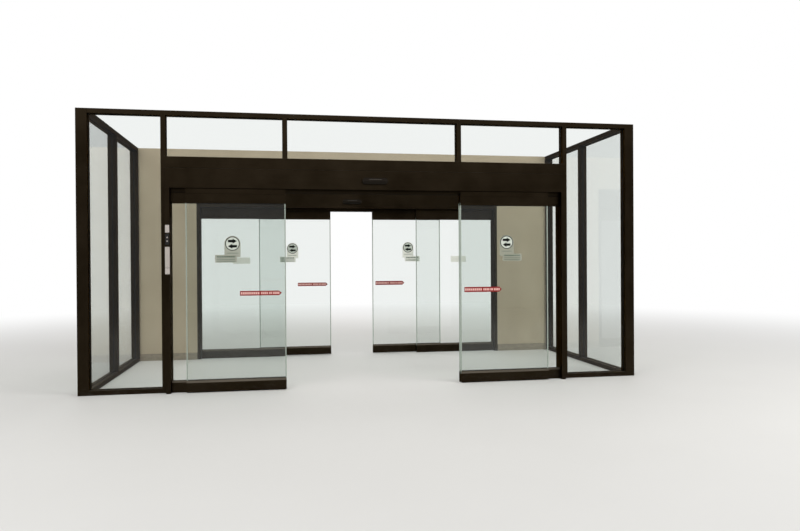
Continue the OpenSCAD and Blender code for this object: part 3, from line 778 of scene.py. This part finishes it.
# Geometry trees: each takes a small base mesh and ends in realized, finished pieces
def newTree(name, sockets):
    tree = bpy.data.node_groups.new(name, "GeometryNodeTree")
    for title, kind in {"Geometry": "Geometry", **sockets, "Finish": "Material"}.items():
        tree.interface.new_socket(name=title, in_out="INPUT", socket_type="NodeSocket" + kind)
    tree.interface.new_socket(name="Geometry", in_out="OUTPUT", socket_type="NodeSocketGeometry")
    return tree, put(tree, "NodeGroupInput").outputs


def closeTree(tree, given, geometry):
    real = put(tree, "GeometryNodeRealizeInstances", {0: geometry})
    painted = put(tree, "GeometryNodeSetMaterial", {"Geometry": real, "Material": given["Finish"]})
    put(tree, "NodeGroupOutput", {0: painted})
    return tree


def placeEach(tree, given, points, instance, rotation, scale=(1, 1, 1)):
    placed = put(tree, "GeometryNodeInstanceOnPoints", {
        "Points": points, "Instance": instance, "Rotation": rotation, "Scale": scale})
    return closeTree(tree, given, placed)


def basePath(tree, given):
    return put(tree, "GeometryNodeMeshToCurve", {0: given["Geometry"]})


def evenSteps(tree, given):
    inputs = {"Curve": basePath(tree, given), "Length": given["Pitch"]}
    return put(tree, "GeometryNodeResampleCurve", inputs, mode="LENGTH")


def grow(name, tree, base, values, body):
    source = bpy.data.objects.new(name + "_base", base)
    scene.collection.objects.link(source)
    modifier = source.modifiers.new("grow", "NODES")
    modifier.node_group = tree
    for item in tree.interface.items_tree:
        if item.in_out == "INPUT" and item.name in values:
            modifier[item.identifier] = values[item.name]
    source.update_tag()
    graph = bpy.context.evaluated_depsgraph_get()
    mesh = bpy.data.meshes.new_from_object(source.evaluated_get(graph), depsgraph=graph)
    source.modifiers.clear()
    bpy.data.objects.remove(source)
    mesh.name = name
    keep(name, mesh, [], body)
    print(name, "has", len(mesh.polygons), "faces")


def fastenerTree():
    tree, given = newTree("fasteners", {"Head": "Object", "Size": "Float", "Seed": "Int"})
    facing = put(tree, "GeometryNodeInputNamedAttribute", {"Name": "facing"}, data_type="FLOAT_VECTOR")
    aimed = put(tree, "FunctionNodeAlignRotationToVector", {"Vector": facing}, axis="Z")
    turned = put(tree, "FunctionNodeRandomValue", {
        0: (0, 0, 0), 1: (0, 0, 2 * math.pi), "Seed": given["Seed"]}, data_type="FLOAT_VECTOR")
    spin = put(tree, "FunctionNodeEulerToRotation", {0: turned})
    both = put(tree, "FunctionNodeRotateRotation", {0: aimed, 1: spin}, rotation_space="LOCAL")
    head = put(tree, "GeometryNodeObjectInfo", {"Object": given["Head"]}).outputs["Geometry"]
    return placeEach(tree, given, given["Geometry"], head, both, given["Size"])


def toothTree():
    tree, given = newTree("beltTeeth", {
        "Pitch": "Float", "Tooth Length": "Float", "Tooth Height": "Float", "Belt Width": "Float"})
    tangent = put(tree, "GeometryNodeInputTangent")
    aimed = put(tree, "FunctionNodeAlignRotationToVector", {"Vector": tangent}, axis="X", pivot_axis="Y")
    size = vector(tree, given["Tooth Length"], given["Belt Width"], given["Tooth Height"])
    tooth = put(tree, "GeometryNodeMeshCube", {"Size": size})
    inward = vector(tree, z=times(given["Tooth Height"], 0.5))
    moved = put(tree, "GeometryNodeTransform", {"Geometry": tooth, "Translation": inward})
    return placeEach(tree, given, evenSteps(tree, given), moved, aimed)


def brushTree():
    tree, given = newTree("brushRow", {"Tuft": "Object", "Pitch": "Float", "Lean": "Float", "Seed": "Int"})
    back = times(given["Lean"], -1.0)
    least, most = vector(tree, back, back), vector(tree, given["Lean"], given["Lean"], bristle["turn"])
    turned = put(tree, "FunctionNodeRandomValue", {0: least, 1: most, "Seed": given["Seed"]},
                 data_type="FLOAT_VECTOR")
    spin = put(tree, "FunctionNodeEulerToRotation", {0: turned})
    tuft = put(tree, "GeometryNodeObjectInfo", {"Object": given["Tuft"]}).outputs["Geometry"]
    return placeEach(tree, given, evenSteps(tree, given), tuft, spin)


def beadTree():
    tree, given = newTree("glazingBead", {"Radius": "Float"})
    profile = put(tree, "GeometryNodeCurvePrimitiveCircle", {
        "Resolution": bead["sides"], "Radius": given["Radius"]}, mode="RADIUS")
    swept = put(tree, "GeometryNodeCurveToMesh", {
        "Curve": basePath(tree, given), "Profile Curve": profile, "Fill Caps": True})
    return closeTree(tree, given, swept)


# A bristle is a slim three-sided spike, and a few of them on a ring make a tuft
bristle = {
    "radius": 0.0004,
    "corners": (0, 2.1, 4.2),  # their angles
    "tipShare": 0.6,  # of the radius
    "rootRing": 1.6,  # radius of the ring of roots, in bristle radii
    "turn": 6.28,  # greatest turn of a tuft
}

# Soft beads where the glass of doors and sidelites enters its rails
bead = {"radius": 0.0022, "bite": 0.025, "endGap": 0.001, "sides": 8}

trees = {"fasteners": fastenerTree(), "teeth": toothTree(), "brush": brushTree(), "bead": beadTree()}
print("geometry trees built")


# A low domed screw head with a round recess, and a plain hexagon bolt head, both standing on Z
screwShape = {
    "rings": ((0.97, 0.55), (0.72, 1.0)),  # shares of the radius and of the height
    "recessRim": 0.25,  # share of the radius
    "recessDepth": 0.7,  # share of the height
}


def screwHead(name, corners, radius, height, recess):
    shape = bmesh.new()
    lower = bmesh.ops.create_circle(shape, segments=corners, radius=radius)["verts"]
    rings = [lower]
    for wide, lift in screwShape["rings"]:
        rings.append([shape.verts.new((v.co.x * wide, v.co.y * wide, height * lift)) for v in lower])
    for under, over in zip(rings, rings[1:]):
        addBand(shape, over, under)
    shape.faces.new(rings[0][::-1])
    top = shape.faces.new(rings[-1])
    if recess:
        bmesh.ops.inset_individual(shape, faces=[top], thickness=radius * screwShape["recessRim"], depth=0)
        for v in top.verts:
            v.co.z -= height * screwShape["recessDepth"]
    return bpy.data.objects.new(name, meshOf(shape, name))


def onCircle(angle):
    return Vector((math.cos(angle), math.sin(angle), 0))


def brushTuft(name, count, length, spread):
    shape = bmesh.new()
    radius = bristle["radius"]
    down = Vector((0, 0, length))
    for index in range(count):
        way = onCircle(2 * math.pi * index / count)
        root, tip = way * radius * bristle["rootRing"], way * spread
        low = [shape.verts.new(tip + onCircle(a) * radius * bristle["tipShare"] - down)
               for a in bristle["corners"]]
        high = [shape.verts.new(root + onCircle(a) * radius) for a in bristle["corners"]]
        addSolid(shape, high, low)
    return bpy.data.objects.new(name, meshOf(shape, name))


def pointMesh(name, places):
    mesh = bpy.data.meshes.new(name)
    mesh.from_pydata([place for place, _ in places], [], [])
    facing = mesh.attributes.new("facing", "FLOAT_VECTOR", "POINT")
    facing.data.foreach_set("vector", [value for _, way in places for value in way])
    return mesh


def lineMesh(name, lines, closed=False):
    mesh = bpy.data.meshes.new(name)
    points, edges = [], []
    for line in lines:
        first = len(points)
        points += line
        edges += [(first + index, first + index + 1) for index in range(len(line) - 1)]
        if closed:
            edges.append((first + len(line) - 1, first))
    mesh.from_pydata(points, edges, [])
    return mesh


panHead = screwHead("panHead", corners=12, radius=0.0040, height=0.0014, recess=True)
hexHead = screwHead("hexHead", corners=6, radius=0.0075, height=0.0050, recess=False)

fixings = {
    "capInset": 0.012,  # from the top and foot of a rail's end cap
    "capSecond": 0.085,  # from the same to the second row
    "capOffset": 0.013,  # from the middle of the rail
    "endPlateRows": (0.04, 0.17, 0.25, 0.31),
    "endPlateColumns": (0.014, 0.052),
    "boltPitch": 0.300,
    "boltReach": 2.10,
    "boltInset": 0.007,  # from the edge of the track
    "boltDrop": 0.004,  # from the top of the track
}


def addFastener(name, places, seed, size=1.0, head=panHead, finish="screw", body="root"):
    values = {"Head": head, "Size": size, "Seed": seed, "Finish": finishes[finish]}
    grow(name, trees["fasteners"], pointMesh(name + "_points", places), values, body)


def capScrews(node):
    low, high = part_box(node)
    inset, second = fixings["capInset"], fixings["capSecond"]
    rows = (low.z + inset, low.z + second, high.z - second, high.z - inset)
    middle = (low.y + high.y) / 2
    return [((x, middle + offset, z), (way, 0, 0))
            for x, way in ((low.x, -1), (high.x, 1)) for z in rows
            for offset in (-fixings["capOffset"], fixings["capOffset"])]


def endScrews():
    places = []
    for unit, way in (("front", -1), ("rear", 1)):
        low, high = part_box(f"{unit}_header")
        face = low.y if way < 0 else high.y
        for row in fixings["endPlateRows"]:
            for column in fixings["endPlateColumns"]:
                y = face - way * column
                places += [((low.x, y, low.z + row), (-1, 0, 0)), ((high.x, y, low.z + row), (1, 0, 0))]
    return places


def trackBolts():
    places = []
    for unit, way in (("front", 1), ("rear", -1)):
        low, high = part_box(f"{unit}_track")
        y = (high.y if way > 0 else low.y) - way * fixings["boltInset"]
        count = int(fixings["boltReach"] / fixings["boltPitch"])
        for index in range(-count, count + 1):
            places.append(((index * fixings["boltPitch"], y, high.z - fixings["boltDrop"]), (0, 0, -1)))
    return places


for unit, side in doors:
    addFastener(f"{unit}_{side}_cap_screws", capScrews(f"{unit}_{side}_rails"),
                seed=11, body=f"{unit}_leaf_{side}")
addFastener("header_end_screws", endScrews(), seed=5, size=1.2)
addFastener("track_bolts", trackBolts(), seed=9, head=hexHead, finish="gear")


# Screws that hold the floor guides and the switch plates
plateScrews = {
    "heights": (1.292, 1.342, 1.366, 1.562, 1.736, 1.804),
    "guideColumns": (0.010, 0.040),  # from the outer end of a guide
    "guideRow": 0.033,  # from the far face of its fin
    "guideFoot": 0.003,
}


def guideScrews():
    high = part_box("floor_guides")[1]
    y = high.y - plateScrews["guideRow"]
    return [((wayX * (high.x - column), wayY * y, plateScrews["guideFoot"]), (0, 0, 1))
            for column in plateScrews["guideColumns"] for wayX in (-1, 1) for wayY in (-1, 1)]


def switchScrews():
    low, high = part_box("switch_plates")
    middle = (low.x + high.x) / 2
    return [((middle, low.y + plates["keyDepth"], z), (0, -1, 0)) for z in plateScrews["heights"]]


addFastener("guide_screws", guideScrews(), seed=6, size=0.9)
addFastener("switch_screws", switchScrews(), seed=2, size=0.6)


# A smoked window in the face of each motion sensor, with a row of small spots on it
window = {
    "width": 0.178,
    "height": 0.0125,
    "radius": 0.0055,
    "lift": 0.047,  # above the foot of the sensor
    "sink": 0.002,
    "depth": 0.0014,
    "spots": 6,
    "spotWidth": 0.017,
    "spotHeight": 0.007,
    "spotRadius": 0.0025,
    "spotDepth": 0.0003,
    "spotPitch": 0.024,
}


def addSensorWindows():
    low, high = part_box("motion_sensors")
    front, rear = (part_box(f"{unit}_header") for unit in units)
    faces = (
        (low.y, 1), (high.y, -1),
        (front[1].y + front[0].y - low.y, -1), (rear[0].y - high.y + rear[1].y, 1))
    shape = bmesh.new()
    level = low.z + window["lift"]
    pane = roundedOutline(0, level, window["width"], window["height"], window["radius"])
    for face, way in faces:
        bottom, top = face + way * window["sink"], face + way * (window["sink"] - window["depth"])
        slab(shape, pane, bottom, top, 0)
        for index in range(window["spots"]):
            x = (index - (window["spots"] - 1) / 2) * window["spotPitch"]
            spot = roundedOutline(x, level, window["spotWidth"], window["spotHeight"], window["spotRadius"])
            slab(shape, spot, top, top - way * window["spotDepth"], 1)
    keepShape("sensor_windows", shape, ["lens", "spot"], "root")


addSensorWindows()


# Ribs inside the drive belts
beltTeeth = {"pitch": 0.008, "length": 0.0042, "height": 0.0015, "thickness": 0.003, "steps": 20}


def beltLoop(unit):
    low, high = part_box(f"{unit}_belt")
    radius = (high.z - low.z) / 2 - beltTeeth["thickness"]
    middle, level = (low.y + high.y) / 2, (low.z + high.z) / 2
    reach = high.x - (high.z - low.z) / 2
    loop = []
    for way in (1, -1):
        for step in range(beltTeeth["steps"] + 1):
            angle = math.pi * (step / beltTeeth["steps"] - 0.5)
            x, z = reach + radius * math.cos(angle), radius * math.sin(angle)
            loop.append((way * x, middle, level + way * z))
    return lineMesh(f"{unit}_belt_path", [loop], True)


for unit in units:
    low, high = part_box(f"{unit}_belt")
    values = {
        "Pitch": beltTeeth["pitch"], "Tooth Length": beltTeeth["length"], "Belt Width": high.y - low.y,
        "Tooth Height": beltTeeth["height"], "Finish": finishes["belt"]}
    grow(f"{unit}_belt_ribs", trees["teeth"], beltLoop(unit), values, "root")


def growBrush(stem, line, length, plan, seed, body):
    tuft = brushTuft(stem + "_tuft", plan["tuftCount"], length, plan["spread"])
    values = {
        "Tuft": tuft, "Pitch": plan["pitch"], "Lean": plan["lean"], "Seed": seed,
        "Finish": finishes["bristle"]}
    grow(stem + "_brush", trees["brush"], lineMesh(stem + "_line", [line]), values, body)


# A brush under the outer side of each sliding door: the lobby side in front, the street side at the rear
brush = {
    "pitch": 0.004,
    "inset": 0.007,
    "floorGap": 0.0012,
    "endGap": 0.006,
    "lean": 0.10,
    "tuftCount": 5,
    "spread": 0.0018,
}


def addBrush(unit, side):
    low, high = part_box(f"{unit}_{side}_rails")
    y = low.y + brush["inset"] if unit == "front" else high.y - brush["inset"]
    line = [(low.x + brush["endGap"], y, low.z), (high.x - brush["endGap"], y, low.z)]
    growBrush(f"{unit}_{side}", line, low.z - brush["floorGap"], brush, 7, f"{unit}_leaf_{side}")


for unit, side in doors:
    addBrush(unit, side)


# A deep brush hangs from the floor plate of each header and closes the gap above the doors. Its dark holder
# and bristles are real parts that also stand in as painted shade for that gap
headerBrush = {
    "setBack": 0.065,  # from the header face to the middle of the brush
    "jambIn": 2.217,  # inner face of the jambs
    "jambGap": 0.0005,
    "bite": 0.0001,  # of the holder into the header
    "holderWidth": 0.004,
    "holderHeight": 0.031,
    "foot": 2.163,  # of the bristles
    "finWidth": 0.0008,
    "finFoot": 0.003,  # above the foot of the bristles
    "finBite": 0.001,  # into the holder
    "endGap": 0.003,
    "pitch": 0.003,
    "lean": 0.02,
    "tuftCount": 4,
    "spread": 0.0016,
}


def addHeaderBrush(unit):
    low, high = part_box(f"{unit}_header")
    y = low.y + headerBrush["setBack"] if unit == "front" else high.y - headerBrush["setBack"]
    reach, top = headerBrush["jambIn"] - headerBrush["jambGap"], low.z + headerBrush["bite"]
    under = low.z - headerBrush["holderHeight"]
    holder = (headerBrush["holderWidth"] / 2, under, top)
    fin = (headerBrush["finWidth"] / 2, headerBrush["foot"] + headerBrush["finFoot"],
           under + headerBrush["finBite"])
    # the bronze holder and the black bristles under it also darken the gap as painted shade
    shape = bmesh.new()
    for half, foot, head in (holder, fin):
        slab(shape, [(-reach, foot), (reach, foot), (reach, head), (-reach, head)], y + half, y - half)
    keepShape(f"{unit}_header_brush_holder", shape, ["bronzeAcross"], "root")
    end = reach - headerBrush["endGap"]
    line = [(-end, y, under), (end, y, under)]
    growBrush(f"{unit}_header", line, under - headerBrush["foot"], headerBrush, 4, "root")


for unit in units:
    addHeaderBrush(unit)


# A cover strip on the outer face of each door's top rail hides the hangers up to the header
coverStrip = {
    "thickness": 0.0025,
    "lap": 0.016,  # over the face of the rail
    "headerGap": 0.005,
    "chamfer": 0.0012,
    "endGap": 0.001,
}


def addCoverStrip(unit, side):
    low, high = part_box(f"{unit}_{side}_rails")
    way, face = (-1, low.y) if unit == "front" else (1, high.y)
    outer, slope = face + way * coverStrip["thickness"], coverStrip["chamfer"]
    foot, top = high.z - coverStrip["lap"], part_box(f"{unit}_header")[0].z - coverStrip["headerGap"]
    outline = [
        (face, foot), (outer, foot + slope), (outer, top - slope), (outer - way * slope, top), (face, top)]
    shape = bmesh.new()
    addSolid(shape, *(
        [shape.verts.new((x, y, z)) for y, z in outline]
        for x in (low.x + coverStrip["endGap"], high.x - coverStrip["endGap"])))
    keepShape(f"{unit}_{side}_cover_strip", shape, ["bronzeAcross"], f"{unit}_leaf_{side}")


for unit, side in doors:
    addCoverStrip(unit, side)


# Clear channels on the bare upright edges of door and sidelite glass
edgeSeal = {"cover": 0.011, "wall": 0.0006, "lip": 0.00045, "bite": 0.025}


def addEdgeSeal(shape, edge, outward, middle, half, low, high):
    inner, outer = edge - outward * edgeSeal["cover"], edge + outward * edgeSeal["lip"]
    wide = half + edgeSeal["wall"]
    outline = [
        (inner, middle - wide), (outer, middle - wide), (outer, middle + wide), (inner, middle + wide),
        (inner, middle + half), (edge, middle + half), (edge, middle - half), (inner, middle - half)]
    addSolid(shape, *([shape.verts.new((x, y, z)) for x, y in outline] for z in (low, high)))


def sealEdges(stem, edges, body):
    low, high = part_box(stem + "_glass")
    shape = bmesh.new()
    for edge, outward in edges:
        addEdgeSeal(shape, edge, outward, (low.y + high.y) / 2, (high.y - low.y) / 2,
                    low.z + edgeSeal["bite"], high.z - edgeSeal["bite"])
    keepShape(stem + "_edge_seals", shape, ["seal"], body)


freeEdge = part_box("front_right_glass")[0].x  # where the glass of a sidelite ends, towards the middle

for unit in units:
    for side in sides:
        low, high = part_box(f"{unit}_{side}_glass")
        sealEdges(f"{unit}_{side}", [(low.x, -1), (high.x, 1)], f"{unit}_leaf_{side}")
    sealEdges(f"{unit}_sidelite", [(-freeEdge, 1), (freeEdge, -1)], "root")


def addBeads(stem, spans, body):
    low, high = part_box(stem + "_glass")
    levels = (low.z + bead["bite"], high.z - bead["bite"])
    lines = [[(start, y, z), (end, y, z)] for start, end in spans for z in levels for y in (low.y, high.y)]
    values = {"Radius": bead["radius"], "Finish": finishes["gasket"]}
    grow(stem + "_beads", trees["bead"], lineMesh(stem + "_lines", lines), values, body)


for unit in units:
    for side in sides:
        low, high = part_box(f"{unit}_{side}_rails")
        spans = [(low.x + bead["endGap"], high.x - bead["endGap"])]
        addBeads(f"{unit}_{side}", spans, f"{unit}_leaf_{side}")
    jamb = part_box(f"{unit}_sidelite_rails")[1].x
    spans = [(way * (freeEdge + bead["endGap"]), way * jamb) for way in (-1, 1)]
    addBeads(f"{unit}_sidelite", spans, "root")
print("trim fitted")


# Studio: a pale floor that fades to white far away, white surroundings and four soft lamps
studio = {
    "floorSize": 120.0,
    "floorColor": (0.70, 0.69, 0.665, 1),
    "floorMottle": (0.68, 0.67, 0.645, 1),
    "mottleScale": 1.2,
    "floorRough": 0.55,
    "floorShine": 0.25,
    "fadeFrom": 3.6,
    "fadeTo": 14.0,
    "ambient": 0.55,
    "reflectedLow": 0.18,  # what metal and glass mirror near the horizon
    "reflectedHigh": 2.2,  # and what they mirror overhead
    "reflectedRise": (0.2, 0.85),  # it grows between these upward slopes
    "reflectedFloor": 0.45,  # share of the lit floor that they mirror
    "bounces": 32,  # many sheets of glass stand one behind another
}

# Place, aim, size and power of each lamp
lamps = {
    "overheadLamp": ((0.0, -1.0, 7.5), (0, -0.3, 0), (9.0, 7.0), 235),
    "leftLamp": ((-6.5, -8.5, 5.5), (-0.5, 0, 1.3), (5.0, 4.0), 250),
    "rightLamp": ((8.0, -7.5, 4.0), (0.5, 0, 1.3), (4.0, 4.0), 410),
    "streetLamp": ((2.0, 10.0, 5.0), (0, 1.4, 1.4), (6.0, 4.0), 170),
}


# The straight level where it is seen directly or through glass, mirrored in reflections, diffuse otherwise
def seenLevel(tree, mirrored, diffuse, straight=1.0):
    path = put(tree, "ShaderNodeLightPath")
    direct = maths("MAXIMUM", path.outputs["Is Camera Ray"], path.outputs["Is Transmission Ray"])
    direct = maths("MAXIMUM", direct, path.outputs["Is Glossy Ray"])
    bounced = times(maths("GREATER_THAN", path.outputs["Glossy Depth"], 0.5), direct)
    level = put(tree, "ShaderNodeMix", {0: direct, 2: diffuse, 3: straight})
    return put(tree, "ShaderNodeMix", {0: bounced, 2: level, 3: mirrored})


def makeFloor():
    half = studio["floorSize"] / 2
    mesh = bpy.data.meshes.new("studioFloor")
    corners = [(-half, -half, 0), (half, -half, 0), (half, half, 0), (-half, half, 0)]
    mesh.from_pydata(corners, [], [(0, 1, 2, 3)])
    floor = bpy.data.objects.new("studioFloor", mesh)
    scene.collection.objects.link(floor)
    material, tree = newMaterial("paleFloor")
    mottle = remap(noise(tree, studio["mottleScale"], 4.0), 0.3, 0.7, 0.0, 0.5)
    matt = put(tree, "ShaderNodeBsdfPrincipled", {
        "Base Color": mixColor(mottle, studio["floorColor"], studio["floorMottle"]),
        "Roughness": studio["floorRough"], "Specular IOR Level": studio["floorShine"]})
    far = seenLevel(tree, studio["reflectedLow"], 0.0)
    glow = put(tree, "ShaderNodeEmission", {"Color": (1, 1, 1, 1), "Strength": far})
    distance = put(tree, "ShaderNodeVectorMath", {0: objectPoint(tree)}, operation="LENGTH").outputs["Value"]
    fade = remap(distance, studio["fadeFrom"], studio["fadeTo"])
    fade.interpolation_type = "SMOOTHSTEP"
    dark = put(tree, "ShaderNodeEmission", {"Color": (0, 0, 0, 1), "Strength": 0.0})
    shade = seenLevel(tree, 1.0 - studio["reflectedFloor"], 0.0, 0.0)
    near = put(tree, "ShaderNodeMixShader", {0: shade, 1: matt, 2: dark})
    faded = times(fade, seenLevel(tree, 1.0, 0.0))
    mixed = put(tree, "ShaderNodeMixShader", {0: faded, 1: near, 2: glow})
    put(tree, "ShaderNodeOutputMaterial", {"Surface": mixed})
    mesh.materials.append(material)
    floor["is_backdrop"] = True


def makeSurroundings():
    world = bpy.data.worlds.new("studioWorld")
    scene.world = world
    world.use_nodes = True
    tree = world.node_tree
    tree.nodes.clear()
    slope = axisOf(put(tree, "ShaderNodeTexCoord").outputs["Generated"], "Z")
    mirrored = remap(slope, *studio["reflectedRise"], studio["reflectedLow"], studio["reflectedHigh"])
    strength = seenLevel(tree, mirrored, studio["ambient"])
    sky = put(tree, "ShaderNodeBackground", {"Color": (1, 1, 1, 1), "Strength": strength})
    put(tree, "ShaderNodeOutputWorld", {"Surface": sky})


def makeLamp(name, place, aim, size, power):
    data = bpy.data.lights.new(name, "AREA")
    data.shape = "RECTANGLE"
    data.size, data.size_y = size
    data.energy = power
    lamp = bpy.data.objects.new(name, data)
    scene.collection.objects.link(lamp)
    turn = (Vector(aim) - Vector(place)).to_track_quat("-Z", "Y").to_matrix()
    lamp.matrix_world = Matrix.Translation(place) @ turn.to_4x4()
    lamp.visible_camera = False
    lamp.visible_glossy = False  # so that no lamp stands mirrored in the panes
    lamp.visible_transmission = False


makeFloor()
makeSurroundings()
for name, plan in lamps.items():
    makeLamp(name, *plan)
scene.view_settings.view_transform = "Standard"
scene.cycles.max_bounces = studio["bounces"]
scene.cycles.transmission_bounces = studio["bounces"]
scene.cycles.transparent_max_bounces = studio["bounces"]
print("studio ready")

low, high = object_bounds()
